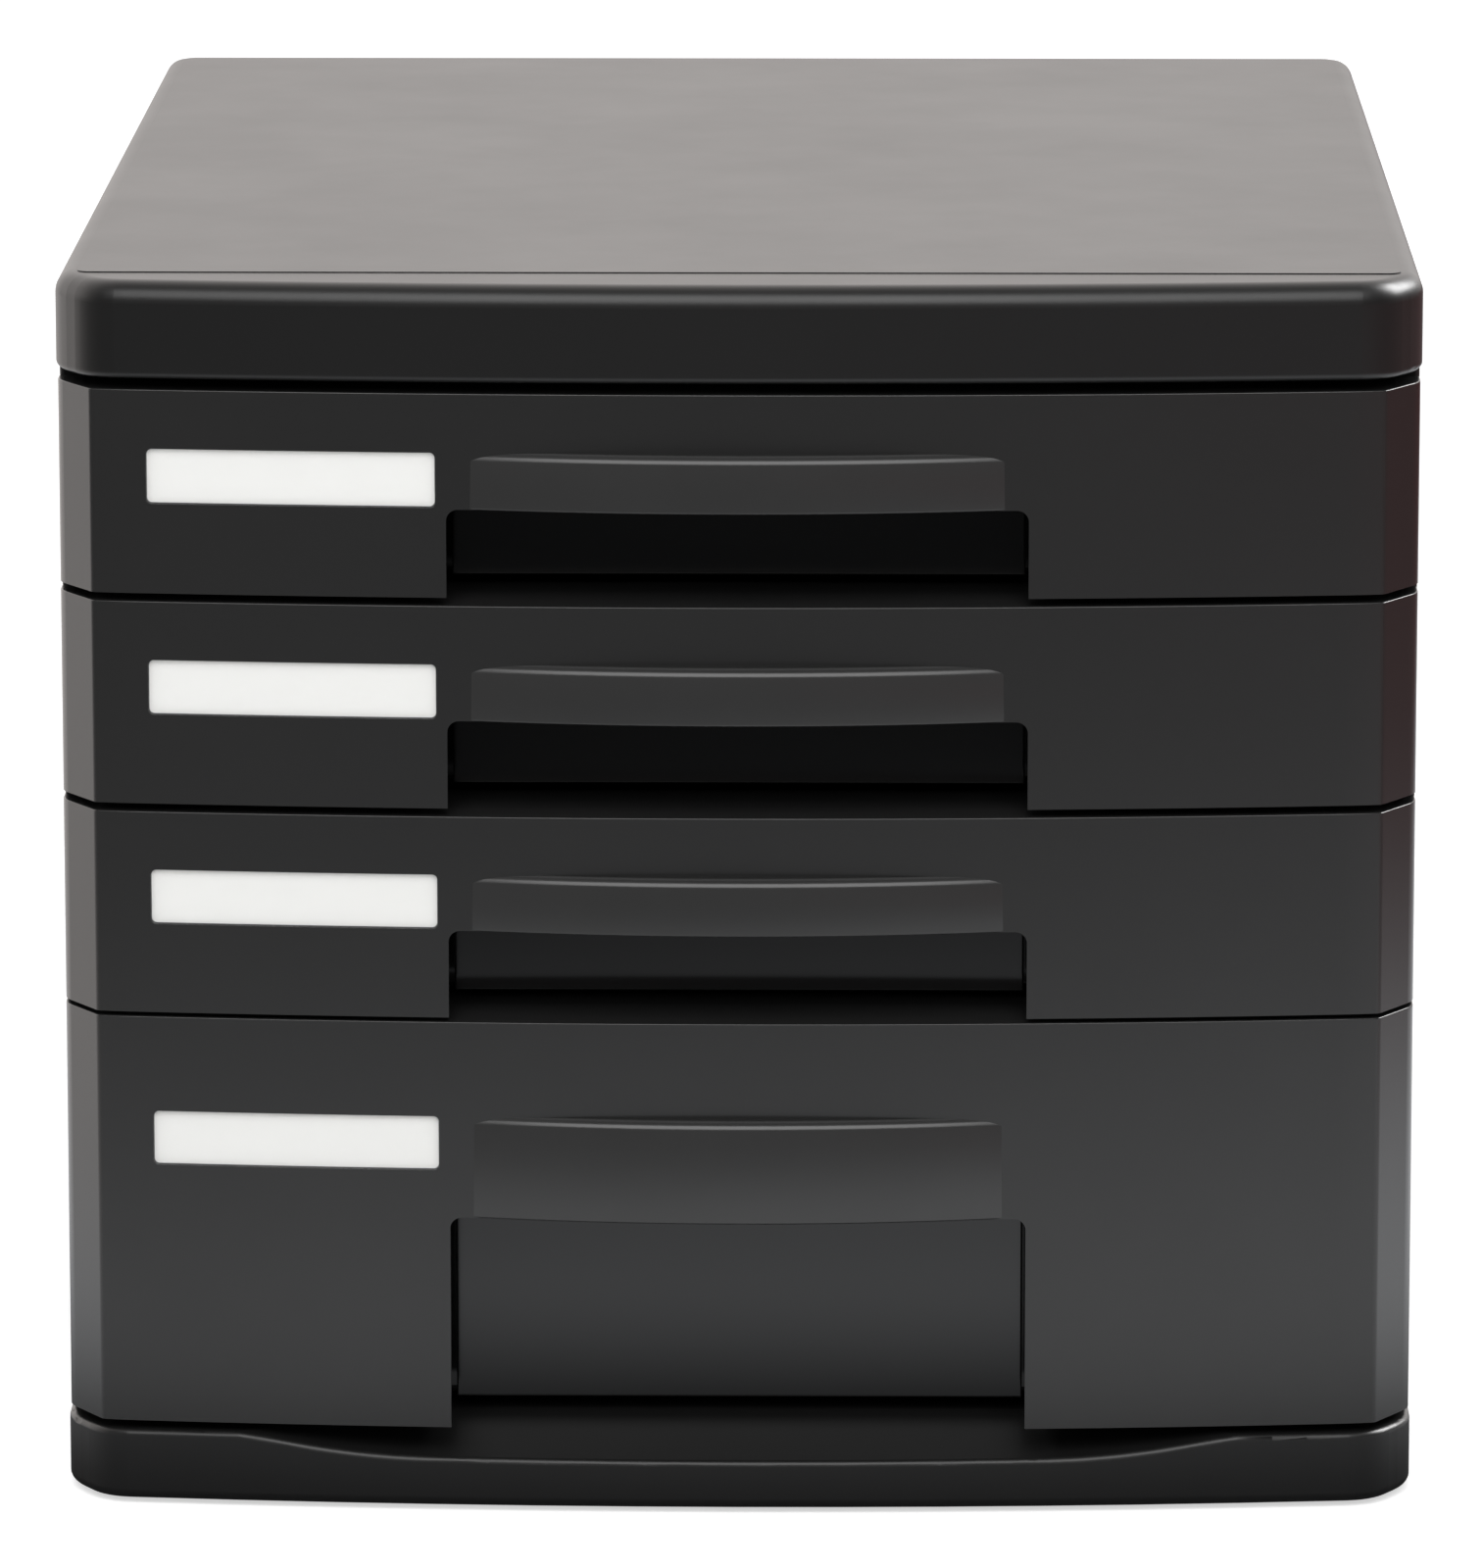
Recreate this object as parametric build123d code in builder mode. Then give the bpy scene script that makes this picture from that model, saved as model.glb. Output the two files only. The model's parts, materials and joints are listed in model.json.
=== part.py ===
from build123d import *
from math import asin, cos, degrees, sqrt
import os

# Desktop drawer unit: three shallow drawers and a deep one in a moulded plastic case.
# Millimetres. +Z is up, +X is right as seen from the front, and the drawers pull out along -Y.
# The origin is on the surface that the feet stand on, under the middle of the unit.

# Case
width = 267.2                # across the lid and the base
lid_depth = 351.2            # lid and base, front to back on the centre line
bow_radius = 1150.0          # plan radius of the bowed front
corner_width = 7.2           # tapered front corner of lid, base and drawer fronts, across
corner_run = 11.5            # tapered corner, front to back
case_crease_radius = 11.0    # rounded crease between front and tapered corner of lid and base
case_shoulder_radius = 18.0  # rounded turn of that corner into the side of lid and base
shoulder_radius = 8.0        # rounded turn of a front's tapered corner into its side
strip_width = 7.0            # strip of the bowed front beside a corner that bends back faster
strip_radius = 70.0          # plan radius of that strip
back_corner_radius = 6.0     # upright back corners of lid and base
base_height = 14.2           # base without its feet
lid_height = 19.2            # lid with its raised field

# Drawer fronts
shallow_height = 40.2        # front of a shallow drawer
deep_height = 82.0           # front of the deep drawer
base_gap = 1.7               # base to the deep front
deep_gap = 0.9               # deep front to the shallow front above it
shallow_gap = 1.6            # between shallow fronts
lid_gap = 2.2                # top front to the lid
front_inset = 1.2            # fronts stand this far behind the lid's front
side_reveal = 0.4            # lid's side to the side of a front
crease_radius = 1.6          # rounded crease between the face and the corner of a front
front_wall = 2.4             # skin of a front
front_edge_radius = 0.25     # rounded upper edge of a front
flange_thickness = 2.0       # top flange of a front
side_return = 6.3            # straight side of a front behind its tapered corner
saddle_lip = 8.0             # how far the flange hooks down inside the tray
saddle_wall = 1.8            # skin of that hook

# Pull lip and finger notch
notch_half = 56.6            # half the width of the finger notch
notch_corner_radius = 2.3    # upper corners of the notch
shallow_notch = 17.4         # notch height on a shallow front
deep_notch = 42.6            # notch height on the deep front
shallow_lip = 11.2           # pull lip height on a shallow front
deep_lip = 20.4              # pull lip height on the deep front
lip_reach = 4.0              # pull lip beyond the front's face
lip_sink = 0.8               # how deep the lip's ends run into the skin
lip_top_radius = 2.0         # rounded upper edge of the lip
lip_low_radius = 0.4         # rounded lower edge of the lip
lip_core_share = 0.55        # part of the lip's arc that is hollow inside

# Label
label_corner_margin = 10.8   # label to the tapered corner
label_notch_margin = 2.0     # label to the notch's side
label_height = 10.9          # visible height of the label
label_corner_radius = 1.2    # corners of the label
card_thickness = 0.4         # paper card
window_thickness = 0.6       # clear cover over the card
window_recess = 0.15         # cover below the front's face
card_gap = 0.15              # cover to the card behind it
card_clearance = 0.2         # round the card, whose cover is pressed into its pocket

# Trays
tray_wall = 1.8              # sides of a tray
tray_floor = 1.8             # floor of a tray
tray_rise = 1.0              # tray's underside above the lower edge of its front
tray_corner_radius = 4.0     # upright corners of a tray
tray_edge_radius = 1.5       # rounded lower edges of a tray
rim_proud = 1.2              # rim beyond the sides and the back of a tray
rim_height = 3.0             # height of that rim
pad_proud = 3.0              # forward step of the tray's wall behind the notch
pad_gap = 0.3                # notch's side to the side of that step
pad_rise = 3.0               # step's top above the notch
pad_edge_radius = 0.4        # rounded edges of that step
hook_length = 9.0            # height of a front's hook in the tray's wall
hook_wall = 2.0              # thickness of a hook
hook_barb = 1.5              # barb of a hook, down and inwards
hook_rise = 7.0              # hook above the tray's underside
rib_inset = 6.0              # upright ribs from the notch and from the corner

# Sides, runners and stops
side_inset = 0.3             # side panel behind the lid's side
side_wall = 2.7              # skin of a side panel
side_edge_radius = 1.0       # rounded outer edges, front and back
side_front_gap = 0.8         # drawer fronts to the front edge of a side panel
ledge_width = 7.0            # runner ledge, inwards from the side panel
ledge_thickness = 2.5        # runner ledge
ledge_front_gap = 4.5        # front of the ledges behind the front edge of the side panel
tray_side_gap = 2.5          # side panel to tray
stop_clearance = 0.5         # stop to the tray's side and tab to the side panel
stop_height = 10.0           # stop on the side panel
stop_length = 4.0            # stop, front to back
stop_setback = 5.0           # stop behind the front end of its ledge
tab_height = 7.0             # stop tab on the tray
tab_length = 8.0             # stop tab, front to back
tab_rise = 2.5               # tab above the tray's underside
travel = 230.0               # how far a drawer pulls out
post_size = 8.0              # upright post at the back of a side panel
tongue_height = 8.0          # side panel's tongue inside the lid
tongue_wall = 2.4            # that tongue
shoulder_height = 4.0        # thick band under the tongue
tab_slot_length = 22.0       # foot tab of a side panel in the base
tab_slot_wall = 2.4          # that foot tab
tab_barb = 1.0               # snap edge on that foot tab
tab_shares = (-0.7, 0.0, 0.7)

# Lid
lid_wall = 2.4               # skin of the lid
lid_edge_radius = 4.2        # rounded upper edge
lid_lower_edge_radius = 1.4  # rounded lower edge
field_height = 0.2           # raised field on top
field_setback = 19.0         # field behind the lid's front
field_margin = 0.3           # field to the rounded edge at the lid's sides and back
field_corner_radius = 2.6    # corners of the field

# Base
base_wall = 3.6              # skirt of the base
base_plate = 2.4             # top plate of the base
base_edge_radius = 2.0       # rounded lower edge
base_rim_radius = 1.2        # rounded upper edge
scoop_dip = 4.6              # how low the front lip dips in the middle
scoop_run = 24.0             # how far back the scoop runs
scoop_margin = 1.4           # scoop to the strip beside the base's corner
scoop_flat_half = 60.0       # half the flat middle of the scoop
base_rib_wall = 1.8          # stiffening ribs under the plate
base_rib_height = 7.0        # those ribs
base_rib_half = 45.0         # the two long ribs from the centre line

# Back panel and its screws
back_wall = 2.2              # back panel
back_inset = 2.7             # back panel inside the back edge of lid and base
back_field_height = 0.8      # raised stiffening field on the back panel
back_field_margin = 24.0     # that field from the panel's edges
back_field_radius = 12.0     # corners of that field
screw_radius = 1.5           # shank
screw_length = 9.0           # shank, from under the head
screw_head_radius = 3.1      # pan head
screw_head_height = 1.8      # pan head
screw_head_rounding = 1.1    # dome of the head
screw_slot = 0.8             # cross recess, width and depth
screw_shares = (0.12, 0.5, 0.88)

# Feet
foot_radius = 8.0            # rubber foot
foot_thickness = 2.6         # rubber foot
foot_proud = 1.0             # foot below the base
foot_edge_radius = 0.6       # rounded edge of the foot
foot_boss_wall = 2.0         # boss round the foot
foot_margin = 6.0            # boss to the skirt and to the end of the scoop
foot_side_inset = 26.0       # foot's centre from the side of the base

# Clearances
fit = 0.2                    # between pieces that slot together
running = 0.2                # under a sliding tray
tray_back_gap = 1.0          # behind a closed tray
overrun = 1.0                # how far cuts and joins run past a face
touching = 0.001             # heights closer than this are the same height

# Places worked out from these sizes
lip_overhang = lip_reach - front_inset
depth = lid_depth + lip_overhang
case_front = lip_overhang - depth / 2
case_back = depth / 2
bow_centre = case_front + bow_radius
half_width = width / 2
base_top = foot_proud + base_height
corner_reach = corner_width + strip_width
scoop_half = half_width - corner_reach - scoop_margin

face = case_front + front_inset
face_radius = bow_centre - face
front_half = half_width - side_reveal
strip_slope = asin((front_half - corner_reach) / face_radius)
strip_drop = strip_radius * (cos(strip_slope) - cos(strip_slope + strip_width / strip_radius))
crease_drop = face_radius * (1 - cos(strip_slope)) + strip_drop
hollow_depth = crease_drop + corner_run + side_return
tray_front = face + hollow_depth
side_outer = half_width - side_inset
side_inner = side_outer - side_wall
side_front = tray_front + side_front_gap
ledge_inner = side_inner - ledge_width
ledge_front = side_front + ledge_front_gap
tray_half = side_inner - tray_side_gap
back_outer = case_back - back_inset
back_inner = back_outer - back_wall
post_front = back_inner - post_size
tray_back = post_front - tray_back_gap - rim_proud
stop_front = ledge_front + stop_setback
tab_front = stop_front + stop_length + travel + fit
pad_half = notch_half - pad_gap
pad_face = tray_front - pad_proud

drawer_names = ("bottom_drawer", "third_drawer", "second_drawer", "top_drawer")
front_heights = (deep_height, shallow_height, shallow_height, shallow_height)
gaps_below = (base_gap, deep_gap, shallow_gap, shallow_gap)
notch_heights = (deep_notch, shallow_notch, shallow_notch, shallow_notch)
lip_heights = (deep_lip, shallow_lip, shallow_lip, shallow_lip)

front_bottoms = []
level = base_top
for front_height, gap_below in zip(front_heights, gaps_below):
    front_bottoms.append(level + gap_below)
    level = front_bottoms[-1] + front_height
lid_bottom = level + lid_gap
tray_bottoms = [bottom + tray_rise for bottom in front_bottoms]

label_left = -(front_half - corner_width - label_corner_margin)
label_right = -(notch_half + label_notch_margin)
label_length = label_right - label_left
label_x = (label_left + label_right) / 2
pocket_depth = window_recess + window_thickness + card_gap + card_thickness


def bow(x, front):
    """Y of the bowed surface whose middle is at front, at the given x."""
    radius = bow_centre - front
    return bow_centre - sqrt(radius**2 - x**2)


def bowed_plan(half, front, back, crease_rounding, shoulder_rounding, back_rounding, z):
    """Plan outline at height z: the bowed front with a strip at each end that bends back faster,
    tapered corners, straight sides and back."""
    strip_x = half - corner_reach
    strip_y = bow(strip_x, front)
    strip_turn = degrees(strip_width / strip_radius)
    with BuildSketch(Plane.XY.offset(z)) as plan:
        with BuildLine():
            bowed = ThreePointArc((-strip_x, strip_y), (0, front), (strip_x, strip_y))
            strip = JernArc(bowed @ 1, bowed % 1, strip_radius, strip_turn)
            mirror(strip, about=Plane.YZ)
            crease = strip @ 1
            shoulder_y = crease.Y + corner_run
            Polyline((crease.X, crease.Y), (half, shoulder_y), (half, back))
            Polyline((-crease.X, crease.Y), (-half, shoulder_y), (-half, back))
            Line((half, back), (-half, back))
        make_face()
        if back_rounding > 0:
            fillet(plan.vertices().group_by(Axis.Y)[-1], radius=back_rounding)
        fillet(plan.vertices().group_by(Axis.Y)[2], radius=shoulder_rounding)
        fillet(plan.vertices().group_by(Axis.Y)[1], radius=crease_rounding)
    return plan.sketch


def case_plan(inset, z):
    """Plan outline of lid and base at height z, set in from their outside."""
    return bowed_plan(
        half_width - inset,
        case_front + inset,
        case_back - inset,
        case_crease_radius - inset,
        case_shoulder_radius - inset,
        back_corner_radius - inset,
        z,
    )


def front_plan(inset, back, z):
    """Plan outline of a drawer front at height z, set in from its outside."""
    return bowed_plan(front_half - inset, face + inset, back, crease_radius, shoulder_radius, 0, z)


def bowed_layer(front, back, z):
    """Plan ring at height z between two bowed surfaces."""
    with BuildSketch(Plane.XY.offset(z)) as ring:
        with Locations((0, bow_centre)):
            Circle(bow_centre - front)
            Circle(bow_centre - back, mode=Mode.SUBTRACT)
    return ring.sketch


def tray_plan(half, front, back, radius, z):
    """Plan of a tray at height z: a rectangle with rounded corners."""
    with BuildSketch(Plane.XY.offset(z)) as plan:
        with Locations((0, (front + back) / 2)):
            RectangleRounded(2 * half, back - front, radius)
    return plan.sketch


def block(x_ends, y_ends, z_ends, mode=Mode.ADD):
    """Box between two limits along each axis, in the part that is being built."""
    centre = [(low + high) / 2 for low, high in (x_ends, y_ends, z_ends)]
    size = [abs(high - low) for low, high in (x_ends, y_ends, z_ends)]
    with Locations(tuple(centre)):
        Box(*size, mode=mode)


def edges_at(part, z):
    """Edges of a part that lie level at height z."""
    return part.edges().filter_by_position(Axis.Z, z - touching, z + touching)


def finish(part, name):
    """Label a finished piece and write it."""
    part.label = name
    export_step(part, f"parts/{name}.step")


os.makedirs("parts", exist_ok=True)

# Top cover
with BuildPart() as top_cover:
    lid_skin_top = lid_bottom + lid_height - field_height
    extrude(case_plan(0, lid_bottom), amount=lid_skin_top - lid_bottom)
    fillet(edges_at(top_cover, lid_skin_top), radius=lid_edge_radius)
    fillet(edges_at(top_cover, lid_bottom), radius=lid_lower_edge_radius)
    lid_ceiling = lid_skin_top - lid_wall
    extrude(case_plan(lid_wall, lid_bottom), amount=lid_ceiling - lid_bottom, mode=Mode.SUBTRACT)
    fillet(edges_at(top_cover, lid_ceiling), radius=lid_edge_radius - lid_wall)
    field_half = half_width - lid_edge_radius - field_margin
    field_back = case_back - lid_edge_radius - field_margin
    field_plan = tray_plan(
        field_half, case_front + field_setback, field_back, field_corner_radius, lid_skin_top - overrun
    )
    extrude(field_plan, amount=overrun + field_height)
finish(top_cover.part, "top_cover")

# Base
with BuildPart() as base:
    extrude(case_plan(0, foot_proud), amount=base_height)
    fillet(edges_at(base, foot_proud), radius=min(base_edge_radius, base_wall))
    # Scoop of the front lip: an S-curve either side of a flat middle, rising to the back
    with BuildSketch(Plane.XZ.offset(-case_front)) as scoop:
        with BuildLine():
            middle_x = (scoop_half + scoop_flat_half) / 2
            middle_z = base_top - scoop_dip / 2
            low_z = base_top - scoop_dip
            upper = TangentArc((-scoop_half, base_top), (-middle_x, middle_z), tangent=(1, 0))
            lower = TangentArc((-middle_x, middle_z), (-scoop_flat_half, low_z), tangent=upper % 1)
            Line((-scoop_flat_half, low_z), (0, low_z))
            Line((0, low_z), (0, base_top + scoop_dip))
            Line((0, base_top + scoop_dip), (-scoop_half, base_top + scoop_dip))
            Line((-scoop_half, base_top + scoop_dip), (-scoop_half, base_top))
        make_face()
        mirror(about=Plane.YZ)
    scoop_way = Vector(0, scoop_run, scoop_dip)
    extrude(amount=scoop_way.length, dir=scoop_way.normalized(), mode=Mode.SUBTRACT)
    # Rounded upper rim, scoop and all
    walls = base.faces().filter_by(lambda wall: abs(wall.normal_at().Z) < touching)
    rim_low = base_top - scoop_dip - touching
    rim = ShapeList(edge for wall in walls for edge in wall.edges())
    rim = rim.filter_by(Axis.Z, reverse=True).filter_by_position(Axis.Z, rim_low, base_top + touching)
    fillet(rim, radius=base_rim_radius)
    # Hollow underside, lower under the scoop
    lip_under = base_height - scoop_dip - base_plate
    extrude(case_plan(base_wall, foot_proud), amount=lip_under, mode=Mode.SUBTRACT)
    scoop_end = case_front + scoop_run
    plate_under = base_top - base_plate
    block(
        (base_wall - half_width, half_width - base_wall),
        (scoop_end, case_back - base_wall),
        (foot_proud - overrun, plate_under),
        mode=Mode.SUBTRACT,
    )
    # Stiffening ribs
    for rib_x in (-base_rib_half, base_rib_half):
        block(
            (rib_x - base_rib_wall / 2, rib_x + base_rib_wall / 2),
            (scoop_end - overrun, case_back - base_wall / 2),
            (plate_under - base_rib_height, base_top - base_plate / 2),
        )
    for rib_share in tab_shares:
        rib_y = rib_share * (case_back - scoop_end) / 2 + (case_back + scoop_end) / 2
        block(
            (-base_rib_half, base_rib_half),
            (rib_y - base_rib_wall / 2, rib_y + base_rib_wall / 2),
            (plate_under - base_rib_height, base_top - base_plate / 2),
        )
    # Bosses that hold the feet
    foot_boss_radius = foot_radius + foot_boss_wall
    foot_x = half_width - foot_side_inset
    foot_front = scoop_end + foot_margin + foot_boss_radius
    foot_back = case_back - base_wall - foot_margin - foot_boss_radius
    foot_places = [(x, y) for y in (foot_front, foot_back) for x in (-foot_x, foot_x)]
    with BuildSketch(Plane.XY.offset(foot_proud)) as bosses:
        with Locations(*foot_places):
            Circle(foot_boss_radius)
    extrude(amount=base_height - base_plate / 2)
    foot_seat = foot_thickness - foot_proud
    with BuildSketch(Plane.XY.offset(foot_proud)) as seats:
        with Locations(*foot_places):
            Circle(foot_radius + fit)
    extrude(amount=foot_seat, mode=Mode.SUBTRACT)
    # Slots for the foot tabs of the side panels
    tab_x = side_inner - ledge_width / 2
    tab_middle = (side_front + back_inner) / 2
    tab_reach = (back_inner - side_front) / 2
    tab_ys = [tab_middle + share * tab_reach for share in tab_shares]
    slot_half = tab_slot_wall / 2 + fit
    for slot_side in (-1, 1):
        for slot_y in tab_ys:
            block(
                (slot_side * (tab_x - slot_half), slot_side * (tab_x + slot_half)),
                (slot_y - tab_slot_length / 2 - fit, slot_y + tab_slot_length / 2 + fit),
                (plate_under - overrun, base_top + overrun),
                mode=Mode.SUBTRACT,
            )
finish(base.part, "base")

# Feet
foot_names = ("front_left_foot", "front_right_foot", "back_left_foot", "back_right_foot")
for foot_name, foot_place in zip(foot_names, foot_places):
    with BuildPart() as foot:
        with BuildSketch() as sole:
            with Locations(foot_place):
                Circle(foot_radius)
        extrude(amount=foot_thickness)
        fillet(edges_at(foot, 0), radius=foot_edge_radius)
    finish(foot.part, foot_name)

# Side panels with their runner ledges, stops and posts
screw_places = []
screw_x = side_inner - post_size / 2
for share in screw_shares:
    screw_z = base_top + share * (lid_bottom - base_top)
    screw_places += [(-screw_x, screw_z), (screw_x, screw_z)]

for side, side_name in ((-1, "left_side_panel"), (1, "right_side_panel")):
    with BuildPart() as panel:
        skin = (side * side_inner, side * side_outer)
        block(skin, (side_front, case_back - side_inset), (base_top, lid_bottom))
        upright = panel.edges().filter_by(Axis.Z).sort_by(Axis.X)
        fillet(upright[-2:] if side > 0 else upright[:2], radius=side_edge_radius)
        ledge = (side * ledge_inner, side * (side_inner + side_wall / 2))
        for tray_bottom in tray_bottoms:
            ledge_top = tray_bottom - running
            ledge_low = ledge_top - ledge_thickness
            if tray_bottom == tray_bottoms[0]:
                ledge_low = base_top
            block(ledge, (ledge_front, back_inner), (ledge_low, ledge_top))
            stop_inner = tray_half + stop_clearance
            block(
                (side * stop_inner, side * (side_inner + side_wall / 2)),
                (stop_front, stop_front + stop_length),
                (ledge_low, ledge_top + stop_height),
            )
        post = (side * (side_inner - post_size), side * (side_inner + side_wall / 2))
        block(post, (post_front, back_inner), (base_top, lid_bottom))
        # Thick band and tongue that the lid sits over
        tongue_outer = half_width - lid_wall - fit
        tongue_inner = tongue_outer - tongue_wall
        block(
            (side * tongue_inner, side * (side_inner + side_wall / 2)),
            (side_front, back_inner),
            (lid_bottom - shoulder_height, lid_bottom),
        )
        block(
            (side * tongue_inner, side * tongue_outer),
            (side_front, back_inner),
            (lid_bottom - shoulder_height / 2, lid_bottom + tongue_height),
        )
        # Foot tabs that snap into the base
        for tab_y in tab_ys:
            tab_ends = (tab_y - tab_slot_length / 2, tab_y + tab_slot_length / 2)
            tab_low = plate_under - fit - 2 * tab_barb
            tab_near = tab_x - tab_slot_wall / 2
            tab_far = tab_x + tab_slot_wall / 2
            block((side * tab_near, side * tab_far), tab_ends, (tab_low, base_top + overrun))
            block(
                (side * (tab_near - tab_barb), side * tab_far), tab_ends, (tab_low, plate_under - fit)
            )
        # Pilot holes for the screws of the back panel
        with BuildSketch(Plane.XZ.offset(-back_inner)) as pilots:
            with Locations(*[place for place in screw_places if place[0] * side > 0]):
                Circle(screw_radius + fit / 2)
        extrude(amount=screw_length - back_wall + overrun, mode=Mode.SUBTRACT)
    finish(panel.part, side_name)

# Back panel
with BuildPart() as back_panel:
    back_half = side_inner - fit
    block((-back_half, back_half), (back_inner, back_outer), (base_top, lid_bottom))
    back_tongue_half = half_width - max(back_corner_radius, lid_wall) - fit
    back_tongue = (lid_bottom - overrun, lid_bottom + tongue_height)
    block((-back_tongue_half, back_tongue_half), (back_inner, back_outer), back_tongue)
    back_middle = (base_top + lid_bottom) / 2
    with BuildSketch(Plane.XZ.offset(-back_outer)) as field:
        with Locations((0, back_middle)):
            RectangleRounded(
                2 * (back_half - back_field_margin),
                lid_bottom - base_top - 2 * back_field_margin,
                back_field_radius,
            )
    extrude(amount=-back_field_height)
    with BuildSketch(Plane.XZ.offset(-back_outer)) as holes:
        with Locations(*screw_places):
            Circle(screw_radius + fit)
    extrude(amount=back_wall, mode=Mode.SUBTRACT)
finish(back_panel.part, "back_panel")

# Screws of the back panel, one group
screws = []
for screw_x_place, screw_z_place in screw_places:
    seat = Plane((screw_x_place, back_outer, screw_z_place), x_dir=(-1, 0, 0), z_dir=(0, 1, 0))
    with BuildPart() as screw:
        with BuildSketch(seat) as head:
            Circle(screw_head_radius)
        extrude(amount=screw_head_height)
        fillet(screw.edges().sort_by(Axis.Y)[-1], radius=screw_head_rounding)
        with BuildSketch(seat) as shank:
            Circle(screw_radius)
        extrude(amount=-screw_length)
        with BuildSketch(seat.offset(screw_head_height)) as cross:
            Rectangle(screw_head_radius, screw_slot)
            Rectangle(screw_slot, screw_head_radius)
        extrude(amount=-screw_slot, mode=Mode.SUBTRACT)
    screws.append(screw.part)
finish(Compound(children=screws), "back_panel_screws")


def hook_xs():
    """Places across a front, right side first: inner rib, hook and outer rib."""
    inner = notch_half + rib_inset
    outer = front_half - corner_reach - rib_inset / 2
    return inner, (inner + outer) / 2, outer


def label_slab(z, front, back, clearance):
    """Rounded slab of the label's outline that follows the bowed face between two depths."""
    with BuildPart() as slab:
        with BuildSketch(Plane.XZ.offset(overrun - front)) as outline:
            with Locations((label_x, z)):
                RectangleRounded(
                    label_length - 2 * clearance,
                    label_height - 2 * clearance,
                    label_corner_radius - clearance,
                )
        extrude(amount=-hollow_depth)
        layer = bowed_layer(front, back, z - label_height)
        extrude(layer, amount=2 * label_height, mode=Mode.INTERSECT)
    return slab.part


def lip_bar(inset, low, high, top_radius, low_radius, angle_share):
    """Bar of constant section on the arc of a pull lip, whose ends dive into the bowed face."""
    lip_face = face - lip_reach
    sag = bow(notch_half, face) + lip_sink - lip_face
    radius = (notch_half**2 + sag**2) / (2 * sag)
    half_angle = angle_share * degrees(asin(notch_half / radius))
    start = Plane((0, lip_face + radius, 0)).rotated((0, 0, -half_angle))
    with BuildPart() as bar:
        with BuildSketch(Plane(start.origin, x_dir=start.y_dir, z_dir=start.x_dir)) as section:
            with Locations((inset + sag / 2 - radius, (low + high) / 2)):
                Rectangle(sag, high - low)
            if top_radius > 0:
                fillet(section.vertices().group_by(Axis.X)[0].sort_by(Axis.Y)[-1], radius=top_radius)
            if low_radius > 0:
                fillet(section.vertices().group_by(Axis.X)[0].sort_by(Axis.Y)[0], radius=low_radius)
        revolve(axis=Axis(start.origin, (0, 0, 1)), revolution_arc=2 * half_angle)
    return bar.part


def drawer_front(bottom, height, notch, lip):
    """Bowed front with its pull lip, finger notch, label pocket, top flange, ribs and hooks."""
    top = bottom + height
    lip_low = bottom + notch
    lip_top = lip_low + lip
    lip_outside = lip_bar(0, lip_low, lip_top, lip_top_radius, lip_low_radius, angle_share=1)
    lip_inside = lip_bar(front_wall, lip_low, lip_top - front_wall, 0, 0, lip_core_share)
    pocket = label_slab(lip_top - label_height / 2, face - overrun, face + pocket_depth, 0)
    with BuildPart() as front:
        extrude(front_plan(0, tray_front, bottom), amount=height)
        upper_edges = front.faces().sort_by(Axis.Z)[-1].edges().sort_by(Axis.Y)
        fillet(upper_edges[:-1], radius=front_edge_radius)
        add(lip_outside)
        # Hollow behind the face, open at the back and below
        hollow = front_plan(front_wall, tray_front + overrun, bottom - overrun)
        extrude(hollow, amount=height - flange_thickness + overrun, mode=Mode.SUBTRACT)
        add(lip_inside, mode=Mode.SUBTRACT)
        # Finger notch
        with BuildSketch(Plane.XZ.offset(lip_reach + overrun - face)) as notch_outline:
            with Locations((0, bottom + (notch - overrun) / 2)):
                Rectangle(2 * notch_half, notch + overrun)
            fillet(notch_outline.vertices().group_by(Axis.Y)[-1], radius=notch_corner_radius)
        extrude(amount=-(hollow_depth - pad_proud), mode=Mode.SUBTRACT)
        add(pocket, mode=Mode.SUBTRACT)
        # Flange over the tray's front wall, hooked down inside it
        saddle_back = tray_front + tray_wall + fit + saddle_wall
        saddle_half = tray_half - tray_corner_radius - tray_wall
        block(
            (-saddle_half, saddle_half),
            (tray_front - overrun, saddle_back),
            (top - flange_thickness, top),
        )
        block(
            (-saddle_half, saddle_half),
            (saddle_back - saddle_wall, saddle_back),
            (top - saddle_lip, top - flange_thickness / 2),
        )
        # Upright ribs that meet the tray, and a hook through its wall between each two
        inner_rib, hook_x, outer_rib = hook_xs()
        hook_low = bottom + tray_rise + hook_rise
        hook_end = tray_front + tray_wall + fit + hook_barb
        for side in (-1, 1):
            for rib_x in (inner_rib, hook_x, outer_rib):
                block(
                    (side * (rib_x - hook_wall / 2), side * (rib_x + hook_wall / 2)),
                    (bow(rib_x, face) + front_wall / 2 + pocket_depth / 2, tray_front),
                    (bottom + tray_rise, top - flange_thickness / 2),
                )
            hook = (side * (hook_x - hook_wall / 2), side * (hook_x + hook_wall / 2))
            block(hook, (tray_front - overrun, hook_end), (hook_low, hook_low + hook_length))
            block(hook, (hook_end - hook_barb, hook_end), (hook_low - hook_barb, hook_low))
    return front.part


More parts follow.
